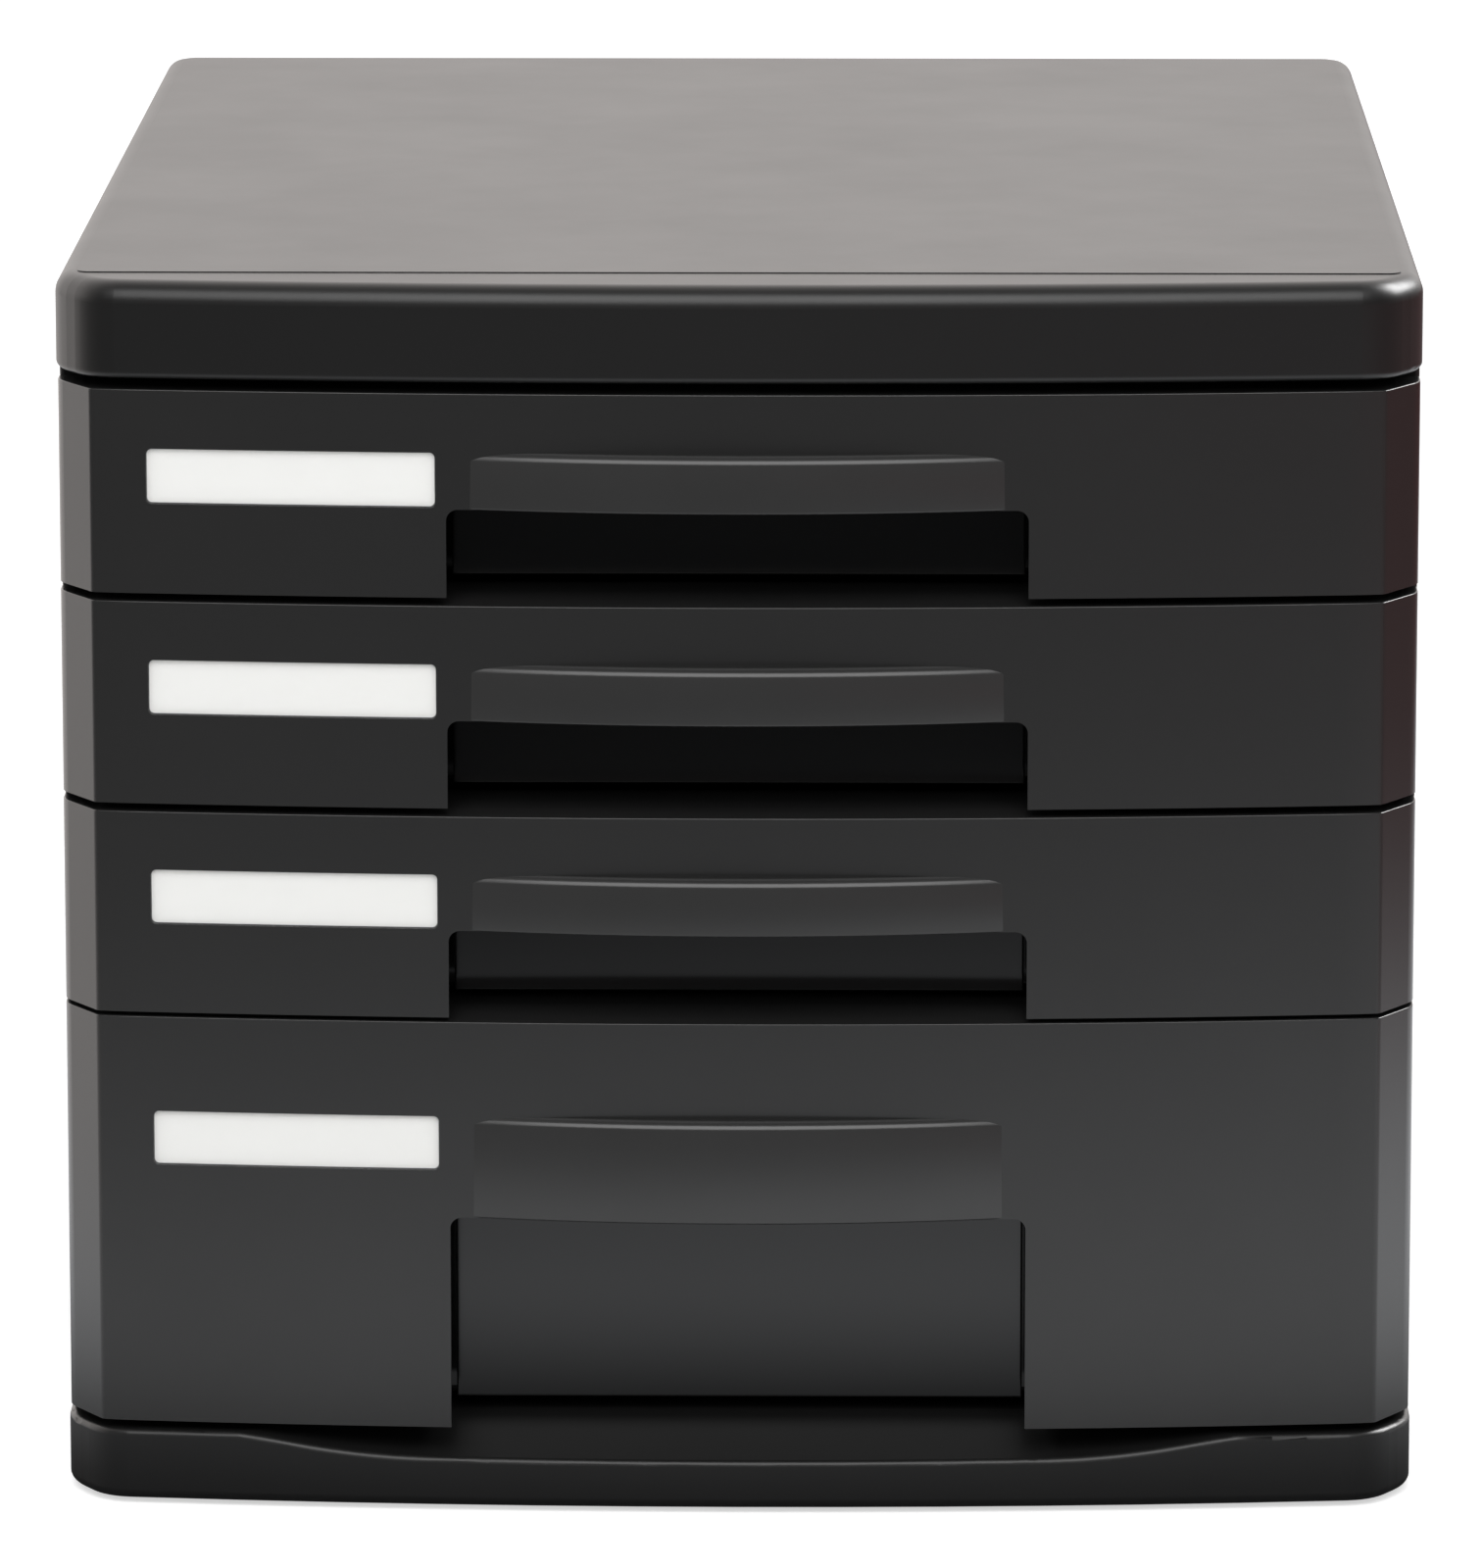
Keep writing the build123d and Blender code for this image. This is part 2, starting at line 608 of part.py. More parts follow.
def drawer_tray(bottom, top, pad_top):
    """Open tray with a rim, a step behind the finger notch, slots for the hooks and stop tabs."""
    with BuildPart() as tray:
        outside = tray_plan(tray_half, tray_front, tray_back, tray_corner_radius, bottom)
        extrude(outside, amount=top - bottom)
        fillet(edges_at(tray, bottom), radius=tray_edge_radius)
        # Step of the front wall behind the notch
        block((-pad_half, pad_half), (pad_face, tray_front + tray_wall), (bottom, pad_top))
        pad_front = tray.faces().sort_by(Axis.Y)[0]
        fillet(pad_front.edges(), radius=pad_edge_radius)
        rim_plan = tray_plan(
            tray_half + rim_proud,
            tray_front + tray_corner_radius,
            tray_back + rim_proud,
            tray_corner_radius + rim_proud,
            top - rim_height,
        )
        extrude(rim_plan, amount=rim_height)
        # Inside
        inner_plan = tray_plan(
            tray_half - tray_wall,
            tray_front + tray_wall,
            tray_back - tray_wall,
            tray_corner_radius - tray_wall,
            bottom + tray_floor,
        )
        extrude(inner_plan, amount=top - bottom, mode=Mode.SUBTRACT)
        block(
            (tray_wall - pad_half, pad_half - tray_wall),
            (pad_face + tray_wall, tray_front + tray_wall + overrun),
            (bottom + tray_floor, pad_top - tray_wall),
            mode=Mode.SUBTRACT,
        )
        for side in (-1, 1):
            # Slot for a hook of the front
            hook_x = hook_xs()[1]
            hook_low = bottom + hook_rise
            block(
                (side * (hook_x - hook_wall / 2 - fit), side * (hook_x + hook_wall / 2 + fit)),
                (tray_front - overrun, tray_front + tray_wall + overrun),
                (hook_low - hook_barb - fit, hook_low + hook_length + fit),
                mode=Mode.SUBTRACT,
            )
            # Stop tab
            block(
                (side * (tray_half - tray_wall / 2), side * (side_inner - stop_clearance)),
                (tab_front, tab_front + tab_length),
                (bottom + tab_rise, bottom + tab_rise + tab_height),
            )
    return tray.part


# Drawers
for drawer_name, bottom, height, notch, lip in zip(
    drawer_names, front_bottoms, front_heights, notch_heights, lip_heights
):
    finish(drawer_front(bottom, height, notch, lip), f"{drawer_name}_front")
    tray_top = bottom + height - flange_thickness - fit
    tray = drawer_tray(bottom + tray_rise, tray_top, bottom + notch + pad_rise)
    finish(tray, f"{drawer_name}_tray")
    label_z = bottom + notch + lip - label_height / 2
    window_back = face + window_recess + window_thickness
    card_face = window_back + card_gap
    card = label_slab(label_z, card_face, card_face + card_thickness, card_clearance)
    finish(card, f"{drawer_name}_label_card")
    window = label_slab(label_z, face + window_recess, window_back, 0)
    finish(window, f"{drawer_name}_label_window")
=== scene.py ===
import json
import math

import bmesh
import bpy
from bpy.props import FloatProperty, FloatVectorProperty, PointerProperty
from mathutils import Matrix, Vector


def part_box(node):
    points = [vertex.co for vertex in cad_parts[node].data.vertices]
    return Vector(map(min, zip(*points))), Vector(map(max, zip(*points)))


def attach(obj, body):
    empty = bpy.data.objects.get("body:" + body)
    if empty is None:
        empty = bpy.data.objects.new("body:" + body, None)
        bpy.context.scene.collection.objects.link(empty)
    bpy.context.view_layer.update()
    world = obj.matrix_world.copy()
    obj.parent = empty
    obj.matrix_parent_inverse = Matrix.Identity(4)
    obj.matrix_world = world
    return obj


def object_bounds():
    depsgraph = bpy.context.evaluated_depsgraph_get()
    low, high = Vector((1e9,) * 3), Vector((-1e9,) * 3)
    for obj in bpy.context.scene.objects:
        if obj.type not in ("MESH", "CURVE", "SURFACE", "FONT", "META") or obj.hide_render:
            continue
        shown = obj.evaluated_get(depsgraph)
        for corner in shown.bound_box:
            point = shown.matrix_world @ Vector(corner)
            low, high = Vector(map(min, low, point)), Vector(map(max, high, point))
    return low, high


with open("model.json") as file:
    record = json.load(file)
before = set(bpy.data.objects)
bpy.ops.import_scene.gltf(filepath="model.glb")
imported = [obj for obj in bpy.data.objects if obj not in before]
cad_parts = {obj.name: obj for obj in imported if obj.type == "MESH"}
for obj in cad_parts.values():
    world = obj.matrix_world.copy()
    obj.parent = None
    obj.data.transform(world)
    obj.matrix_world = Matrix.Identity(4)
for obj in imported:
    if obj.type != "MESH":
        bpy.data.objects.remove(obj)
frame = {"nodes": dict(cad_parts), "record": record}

bl_info = {
    "name": "Desktop drawer unit",
    "version": (1, 0, 0),
    "blender": (4, 5, 0),
    "location": "3D View > Sidebar > Drawer unit",
    "description": "Finishes, studio and camera for a moulded desktop drawer unit",
    "category": "Object",
}

CAD_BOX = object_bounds()
MM = 0.001
ROUND_STEPS = 10
LIP_STEPS = 96
SHARP_ANGLE = math.radians(35)
POLYSTYRENE_IOR = 1.59
RUBBER_IOR = 1.52
PAPER_IOR = 1.5
# Height of a fibre or grain as a share of its width
LIFT_SHARE = 0.05
# The pattern of handling runs from untouched at its low end to polished at its high end
HANDLED_LOW, HANDLED_HIGH = 0.3, 0.7
UNTOUCHED_SHARE, POLISHED_SHARE = 1.04, 0.97


def linear(hex_colour):
    """Linear red, green and blue of an sRGB hex colour."""
    channels = [int(hex_colour[at:at + 2], 16) / 255 for at in (0, 2, 4)]
    return tuple(c / 12.92 if c <= 0.04045 else ((c + 0.055) / 1.055) ** 2.4 for c in channels)


def colour(name, description, hex_colour):
    """A colour property whose default is an sRGB hex value."""
    return FloatVectorProperty(
        name=name, description=description, subtype="COLOR", size=3, min=0, max=1, default=linear(hex_colour)
    )


def length(name, description, millimetres):
    """A length property whose default is given in millimetres."""
    return FloatProperty(
        name=name, description=description, subtype="DISTANCE", unit="LENGTH", default=millimetres * MM
    )


def share(name, description, default):
    """A property between none and all."""
    return FloatProperty(name=name, description=description, subtype="FACTOR", min=0, max=1, default=default)


class PlasticFinish(bpy.types.PropertyGroup):
    """The black polystyrene of case, fronts, pull lips and trays."""

    case_black: colour("Case black", "Colour of lid, base, sides and back", "141414")
    case_worn: colour("Handled case", "Colour of the case where hands have polished it", "181818")
    front_black: colour("Front black", "Colour of the drawer fronts", "252525")
    front_worn: colour("Handled front", "Colour of a front where hands have polished it", "292929")
    # The lips are the same plastic as the fronts but are painted lighter, as painted light for the light their
    # rounded upper edges catch
    lip_painted_lighter: colour("Lip black", "Colour of the pull lips", "2D2D2D")
    lip_worn_painted_lighter: colour("Handled lip", "Colour of a lip where hands have polished it", "343434")
    tray_black: colour("Tray black", "Colour of the trays", "0D0D0D")
    tray_worn: colour("Handled tray", "Colour of a tray where hands have polished it", "101010")
    case_roughness: share("Case roughness", "Satin of lid, base, sides and back", 0.38)
    front_roughness: share("Front roughness", "Satin of the drawer fronts", 0.24)
    tray_roughness: share("Tray roughness", "Gloss of the trays", 0.10)
    case_grain: share("Case grain", "Strength of the grain on the case", 1.0)
    front_grain: share("Front grain", "Strength of the grain on the fronts", 0.7)
    lip_grain: share("Lip grain", "Strength of the grain on the pull lips", 0.5)
    tray_grain: share("Tray grain", "Strength of the grain on the trays", 0.15)
    grain: length("Grain", "Width of one pebble of the mould's grain", 0.9)
    grain_depth: length("Grain depth", "Height of the mould's grain", 0.006)
    sink: length("Sink", "Width of the shallow sinks that cooling leaves", 70.0)
    sink_depth: length("Sink depth", "Depth of those sinks", 0.03)
    handling: length("Handling marks", "Width of the patches that hands leave", 38.0)


class PullLips(bpy.types.PropertyGroup):
    """The curved lips that the drawers are pulled by, as the frame holds them."""

    half: length("Half width", "Half the width of a lip and of the notch under it", 56.6)
    reach: length("Reach", "How far a lip stands out beyond its front", 4.0)
    sink: length("Sink", "How deep the ends of a lip run into its front", 0.8)
    bow: length("Bow", "Plan radius of the bowed fronts", 1148.8)
    shallow_notch: length("Shallow notch", "Lip above the lower edge of a shallow front", 17.4)
    shallow_lip: length("Shallow lip", "Height of the lip of a shallow front", 11.2)
    deep_notch: length("Deep notch", "Lip above the lower edge of the deep front", 42.6)
    deep_lip: length("Deep lip", "Height of the lip of the deep front", 20.4)
    top_radius: length("Upper rounding", "Radius of the upper edge of a lip", 2.0)
    low_radius: length("Lower rounding", "Radius of the lower edge of a lip", 0.4)
    skin: length("Skin", "Thickness of the lip's skin", 2.3)
    proud: length("Proud", "How far the smooth skin lies outside the frame's own lip", 0.03)


class LabelFinish(bpy.types.PropertyGroup):
    """The label cards and their clear covers."""

    card: colour("Card", "Colour of the paper card", "F5F5F3")
    card_shade: colour("Card shade", "Darker fibres of the card", "EFEEEB")
    card_roughness: share("Card roughness", "Dullness of the card", 0.85)
    fibre: length("Fibre", "Width of the card's fibres", 0.5)
    fibre_strength: share("Fibre strength", "Strength of the fibres' relief", 0.3)
    window: colour("Cover", "Tint of the clear cover", "F6F8F8")
    window_cover: share("Cover haze", "How much of the card the cover hides", 0.06)
    window_smooth: share("Clear cover", "Roughness of the cover where it is clear", 0.05)
    window_hazy: share("Hazy cover", "Roughness of the cover where it is hazy", 0.12)
    haze: length("Haze", "Width of the hazy patches of the cover", 8.0)


class FittingFinish(bpy.types.PropertyGroup):
    """Rubber feet and zinc-plated screws."""

    rubber: colour("Rubber", "Colour of the feet", "232323")
    zinc: colour("Zinc", "Colour of the plated screws", "B9BCC0")
    rubber_grain: length("Rubber grain", "Width of the rubber's grain", 0.8)
    rubber_strength: share("Rubber relief", "Strength of the rubber's grain", 0.4)
    rubber_smooth: share("Smooth rubber", "Least roughness of the rubber", 0.72)
    rubber_rough: share("Rough rubber", "Greatest roughness of the rubber", 0.92)
    crystal: length("Plating crystal", "Width of the plating's crystals", 0.4)
    zinc_smooth: share("Smooth plating", "Least roughness of the plating", 0.28)
    zinc_rough: share("Rough plating", "Greatest roughness of the plating", 0.42)


class Studio(bpy.types.PropertyGroup):
    """Floor, light and camera."""

    floor: colour("Floor", "Colour of the floor", "E9E9E9")
    floor_size: length("Floor size", "Side of the square floor", 40000.0)
    floor_lift: FloatProperty(
        name="Floor lift", description="Extra light that the camera sees on the floor", default=0.58, min=0
    )
    warm_white: colour("Backdrop colour", "Colour of the lit backdrop in the gloss", "FFF9F6")
    table_white: colour("Table colour", "Colour of the lit table in the gloss", "F6F8FB")
    dark_wall: colour("Wall colour", "Colour of the dark wall to the right in the gloss", "652D2D")
    sky: FloatProperty(
        name="Soft light", description="Level of the soft light from all round", default=0.66, min=0
    )
    backdrop: FloatProperty(
        name="Backdrop", description="Level of the lit backdrop that the lid mirrors", default=1.46, min=0
    )
    table: FloatProperty(
        name="Table", description="Level of the lit table that the corners mirror", default=1.25, min=0
    )
    table_front: length("Table front", "How far in front of the unit's middle the table is dark", 950.0)
    table_way: FloatVectorProperty(
        name="Table way", description="Way along which the table gets brighter", size=3, default=(0.42, 1.0, 0.0)
    )
    table_least: FloatProperty(
        name="Dark table", description="Level of the table in front of the unit", default=0.05, min=0
    )
    warm_from: length("Warm from", "How far to the left the table begins to take the backdrop's colour", 200.0)
    warm_to: length("Warm to", "How far to the left the table has the backdrop's colour", 500.0)
    wall_from: length("Wall from", "Where the dark wall to the right begins", 300.0)
    wall_to: length("Wall to", "Where the dark wall to the right is full", 750.0)
    # Painted shadow in the floor's gloss round the unit
    contact: length("Contact", "How far the unit darkens the table round it", 150.0)
    contact_least: share("Contact light", "Share of the table's light that reaches the unit's foot", 0.04)
    backdrop_way: FloatVectorProperty(
        name="Backdrop way", description="Way in which the backdrop lies", size=3, default=(-0.5, 0.8, 0.0)
    )
    backdrop_from: FloatProperty(
        name="Backdrop from", description="Where along that way the backdrop begins", default=-0.1
    )
    backdrop_to: FloatProperty(
        name="Backdrop to", description="Where along that way the backdrop is full", default=0.8
    )
    backdrop_least: FloatProperty(
        name="Dark side", description="Level of the surroundings away from the backdrop", default=0.08, min=0
    )
    key_power: FloatProperty(
        name="Key light", description="Power of the softbox above the front", subtype="POWER", default=27.0
    )
    key_place: FloatVectorProperty(
        name="Key light place", description="Where the softbox above the front hangs", subtype="TRANSLATION",
        unit="LENGTH", size=3, default=(0.0, -1750 * MM, 1800 * MM),
    )
    key_size: length("Key light size", "Side of the softbox above the front", 1650.0)
    rim_power: FloatProperty(
        name="Rim light", description="Power of the light at the back right", subtype="POWER", default=95.0
    )
    rim_place: FloatVectorProperty(
        name="Rim light place", description="Where the light at the back right hangs", subtype="TRANSLATION",
        unit="LENGTH", size=3, default=(1900 * MM, 1000 * MM, 1700 * MM),
    )
    rim_size: length("Rim light size", "Side of the light at the back right", 1400.0)
    camera_place: FloatVectorProperty(
        name="Camera", description="Where the camera stands", subtype="TRANSLATION", unit="LENGTH", size=3,
        default=(28.5 * MM, -2175.9 * MM, 545.6 * MM),
    )
    camera_pitch: FloatProperty(
        name="Pitch", description="How far the camera looks down", subtype="ANGLE", default=math.radians(11.257)
    )
    camera_yaw: FloatProperty(
        name="Yaw", description="How far the camera looks right", subtype="ANGLE", default=math.radians(-0.795)
    )
    camera_roll: FloatProperty(
        name="Roll", description="How far the camera leans", subtype="ANGLE", default=math.radians(-0.03)
    )
    focal_length: FloatProperty(
        name="Focal length", description="On a sensor of 36 mm along the longer side", subtype="DISTANCE_CAMERA",
        default=240.5,
    )


def feed(tree, node, inputs):
    """Set inputs of a node to values, or link them to sockets."""
    for socket, value in inputs.items():
        if isinstance(value, bpy.types.NodeSocket):
            tree.links.new(value, node.inputs[socket])
        else:
            node.inputs[socket].default_value = value


def add_node(tree, kind, inputs=None, **settings):
    """Add a node, with its settings, and with values or links for its inputs."""
    node = tree.nodes.new(kind)
    for name, value in settings.items():
        setattr(node, name, value)
    feed(tree, node, inputs or {})
    return node


def new_material(name):
    """An empty node material with its output and shader, ready for the pattern."""
    material = bpy.data.materials.new(name)
    material.use_nodes = True
    tree = material.node_tree
    tree.nodes.clear()
    shader = add_node(tree, "ShaderNodeBsdfPrincipled")
    add_node(tree, "ShaderNodeOutputMaterial", {"Surface": shader.outputs["BSDF"]})
    return material, tree, shader


def link(tree, shader, **inputs):
    """Set or link inputs of the shader by name, with spaces as underscores."""
    feed(tree, shader, {name.replace("_", " "): value for name, value in inputs.items()})


def nodes_with(slot):
    """The CAD objects whose finish is that slot of the record."""
    return [frame["nodes"][row["node"]] for row in frame["record"]["subparts"] if row["material_slot"] == slot]


def dress(slot, material):
    """Give every CAD object of a slot its material."""
    for piece in nodes_with(slot):
        piece.data.materials.clear()
        piece.data.materials.append(material)


def moulded_polystyrene(name, finish, tones, roughness, grain_share):
    """Injection-moulded polystyrene. A spark-eroded mould leaves a fine pebbled grain, which blurs what the
    black surface mirrors, cooling leaves shallow sinks, which bend it, and hands polish it in patches."""
    material, tree, shader = new_material(name)
    place = add_node(tree, "ShaderNodeTexCoord").outputs["Object"]
    handled = add_node(
        tree, "ShaderNodeTexNoise", {"Vector": place, "Scale": 1 / finish.handling, "Detail": 5, "Roughness": 0.6}
    ).outputs["Fac"]
    tone = add_node(
        tree, "ShaderNodeMix",
        {"Factor": handled, "A": (*tones[0], 1), "B": (*tones[1], 1)}, data_type="RGBA",
    )
    gloss = add_node(
        tree, "ShaderNodeMapRange",
        {"Value": handled, "From Min": HANDLED_LOW, "From Max": HANDLED_HIGH,
         "To Min": roughness * UNTOUCHED_SHARE, "To Max": roughness * POLISHED_SHARE},
    )
    sinks = add_node(
        tree, "ShaderNodeTexNoise", {"Vector": place, "Scale": 1 / finish.sink, "Detail": 0}
    ).outputs["Fac"]
    sunk = add_node(
        tree, "ShaderNodeBump", {"Height": sinks, "Strength": 1.0, "Distance": finish.sink_depth}
    ).outputs["Normal"]
    # The real grain is about 0.1 mm wide, too fine to show, so it is drawn coarser
    pebbles = add_node(
        tree, "ShaderNodeTexNoise", {"Vector": place, "Scale": 1 / finish.grain, "Detail": 2}
    ).outputs["Fac"]
    grain = add_node(
        tree, "ShaderNodeBump",
        {"Height": pebbles, "Strength": grain_share, "Distance": finish.grain_depth, "Normal": sunk},
    )
    link(
        tree, shader, Base_Color=tone.outputs["Result"], Roughness=gloss.outputs["Result"], IOR=POLYSTYRENE_IOR,
        Normal=grain.outputs["Normal"],
    )
    return material


def label_card(finish):
    """Uncoated white card: matt, with fibres that shade it a little and lift its surface."""
    material, tree, shader = new_material("uncoated_white_card")
    place = add_node(tree, "ShaderNodeTexCoord").outputs["Object"]
    # Real fibres are about 0.02 mm wide, too fine to show, so they are drawn coarser
    fibres = add_node(
        tree, "ShaderNodeTexNoise", {"Vector": place, "Scale": 1 / finish.fibre, "Detail": 4, "Distortion": 1.5}
    ).outputs["Fac"]
    tone = add_node(
        tree, "ShaderNodeMix",
        {"Factor": fibres, "A": (*finish.card, 1), "B": (*finish.card_shade, 1)}, data_type="RGBA",
    )
    lifted = add_node(
        tree, "ShaderNodeBump",
        {"Height": fibres, "Strength": finish.fibre_strength, "Distance": finish.fibre * LIFT_SHARE}
    )
    link(
        tree, shader, Base_Color=tone.outputs["Result"], Roughness=finish.card_roughness, IOR=PAPER_IOR,
        Normal=lifted.outputs["Normal"],
    )
    return material


def clear_cover(finish):
    """Clear moulded polystyrene sheet: almost nothing but a thin gloss over the card."""
    material, tree, shader = new_material("clear_polystyrene_sheet")
    place = add_node(tree, "ShaderNodeTexCoord").outputs["Object"]
    haze = add_node(tree, "ShaderNodeTexNoise", {"Vector": place, "Scale": 1 / finish.haze, "Detail": 3})
    gloss = add_node(
        tree, "ShaderNodeMapRange",
        {"Value": haze.outputs["Fac"], "To Min": finish.window_smooth, "To Max": finish.window_hazy},
    )
    link(
        tree, shader, Base_Color=(*finish.window, 1), Roughness=gloss.outputs["Result"], IOR=POLYSTYRENE_IOR,
        Alpha=finish.window_cover,
    )
    return material


def moulded_rubber(finish):
    """Moulded rubber: dull black with a fine dusty grain and hardly a highlight."""
    material, tree, shader = new_material("moulded_rubber")
    place = add_node(tree, "ShaderNodeTexCoord").outputs["Object"]
    grain = add_node(
        tree, "ShaderNodeTexNoise", {"Vector": place, "Scale": 1 / finish.rubber_grain, "Detail": 3}
    ).outputs["Fac"]
    rough = add_node(
        tree, "ShaderNodeMapRange",
        {"Value": grain, "To Min": finish.rubber_smooth, "To Max": finish.rubber_rough},
    )
    lifted = add_node(
        tree, "ShaderNodeBump",
        {"Height": grain, "Strength": finish.rubber_strength, "Distance": finish.rubber_grain * LIFT_SHARE},
    )
    link(
        tree, shader, Base_Color=(*finish.rubber, 1), Roughness=rough.outputs["Result"], IOR=RUBBER_IOR,
        Normal=lifted.outputs["Normal"],
    )
    return material


def zinc_plate(finish):
    """Zinc-plated steel: a bluish grey metal with a fine crystalline sparkle."""
    material, tree, shader = new_material("zinc_plated_steel")
    place = add_node(tree, "ShaderNodeTexCoord").outputs["Object"]
    crystals = add_node(tree, "ShaderNodeTexVoronoi", {"Vector": place, "Scale": 1 / finish.crystal})
    rough = add_node(
        tree, "ShaderNodeMapRange",
        {"Value": crystals.outputs["Distance"], "To Min": finish.zinc_smooth, "To Max": finish.zinc_rough},
    )
    link(tree, shader, Base_Color=(*finish.zinc, 1), Metallic=1.0, Roughness=rough.outputs["Result"])
    return material


class DRAWERUNIT_OT_case(bpy.types.Operator):
    """Finish lid, base, side panels and back panel in satin polystyrene"""

    bl_idname = "drawer_unit.case"
    bl_label = "Case"

    def execute(self, context):
        finish = context.scene.drawer_plastic
        tones = (finish.case_black, finish.case_worn)
        material = moulded_polystyrene(
            "satin_polystyrene_case", finish, tones, finish.case_roughness, finish.case_grain
        )
        dress("case_plastic", material)
        return {"FINISHED"}


class DRAWERUNIT_OT_fronts(bpy.types.Operator):
    """Finish the four drawer fronts in satin polystyrene"""

    bl_idname = "drawer_unit.fronts"
    bl_label = "Drawer fronts"

    def execute(self, context):
        finish = context.scene.drawer_plastic
        tones = (finish.front_black, finish.front_worn)
        material = moulded_polystyrene(
            "satin_polystyrene_front", finish, tones, finish.front_roughness, finish.front_grain
        )
        dress("front_plastic", material)
        return {"FINISHED"}


def lip_section(lips, low, high):
    """Section of a lip as pairs of depth behind its crest and height, rounded in front above and below."""
    outline = [(lips.skin, low), (lips.low_radius, low)]
    for centre_z, radius, start in ((low, lips.low_radius, -90), (high, lips.top_radius, -180)):
        centre_z += radius if start == -90 else -radius
        for step in range(1, ROUND_STEPS + 1):
            turn = math.radians(start - 90 * step / ROUND_STEPS)
            outline.append((radius + radius * math.cos(turn), centre_z + radius * math.sin(turn)))
    return outline + [(lips.skin, high)]


def pull_lip(name, lips, crest, low, high):
    """Closed bar of a lip's section along its arc, whose ends dive into the bowed front."""
    rise = lips.bow - math.sqrt(lips.bow**2 - lips.half**2)
    sag = lips.reach + rise + lips.sink
    radius = (lips.half**2 + sag**2) / (2 * sag)
    half_angle = math.asin(lips.half / radius)
    section = lip_section(lips, low - lips.proud, high + lips.proud)
    form = bmesh.new()
    rings = []
    for step in range(LIP_STEPS + 1):
        angle = half_angle * (2 * step / LIP_STEPS - 1)
        ring = []
        for depth, height in section:
            out = radius + lips.proud - depth
            ring.append(form.verts.new((out * math.sin(angle), crest + radius - out * math.cos(angle), height)))
        rings.append(ring)
    for near, far in zip(rings, rings[1:]):
        for at in range(len(section)):
            form.faces.new((near[at - 1], near[at], far[at], far[at - 1]))
    form.faces.new(rings[0])
    form.faces.new(reversed(rings[-1]))
    bmesh.ops.recalc_face_normals(form, faces=form.faces)
    mesh = bpy.data.meshes.new(name)
    form.to_mesh(mesh)
    form.free()
    mesh.shade_smooth()
    mesh.set_sharp_from_angle(angle=SHARP_ANGLE)
    return bpy.data.objects.new(name, mesh)


class DRAWERUNIT_OT_pull_lips(bpy.types.Operator):
    """Lay a smooth skin over the pull lip of each drawer"""

    bl_idname = "drawer_unit.pull_lips"
    bl_label = "Pull lips"

    def execute(self, context):
        lips = context.scene.drawer_lips
        finish = context.scene.drawer_plastic
        # Lighter tones than the fronts: painted light on the lips, on top of the handling patches
        tones = (finish.lip_painted_lighter, finish.lip_worn_painted_lighter)
        material = moulded_polystyrene(
            "handled_polystyrene_lip_painted_lighter", finish, tones, finish.front_roughness, finish.lip_grain
        )
        for drawer in ("top_drawer", "second_drawer", "third_drawer", "bottom_drawer"):
            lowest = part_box(f"{drawer}_front")[0]
            deep = drawer == "bottom_drawer"
            low = lowest.z + (lips.deep_notch if deep else lips.shallow_notch)
            high = low + (lips.deep_lip if deep else lips.shallow_lip)
            lip = pull_lip(f"{drawer}_pull_lip", lips, lowest.y, low, high)
            lip.data.materials.append(material)
            context.scene.collection.objects.link(lip)
            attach(lip, drawer)
        return {"FINISHED"}


class DRAWERUNIT_OT_trays(bpy.types.Operator):
    """Finish the four trays in polystyrene from a polished mould"""

    bl_idname = "drawer_unit.trays"
    bl_label = "Trays"

    def execute(self, context):
        finish = context.scene.drawer_plastic
        tones = (finish.tray_black, finish.tray_worn)
        material = moulded_polystyrene(
            "gloss_polystyrene_tray", finish, tones, finish.tray_roughness, finish.tray_grain
        )
        dress("tray_plastic", material)
        return {"FINISHED"}


class DRAWERUNIT_OT_labels(bpy.types.Operator):
    """Finish the label cards and their clear covers"""

    bl_idname = "drawer_unit.labels"
    bl_label = "Labels"

    def execute(self, context):
        finish = context.scene.drawer_labels
        dress("label_paper", label_card(finish))
        dress("label_clear", clear_cover(finish))
        return {"FINISHED"}


class DRAWERUNIT_OT_fittings(bpy.types.Operator):
    """Finish the rubber feet and the screws of the back panel"""

    bl_idname = "drawer_unit.fittings"
    bl_label = "Feet and screws"

    def execute(self, context):
        finish = context.scene.drawer_fittings
        dress("foot_rubber", moulded_rubber(finish))
        dress("screw_steel", zinc_plate(finish))
        return {"FINISHED"}


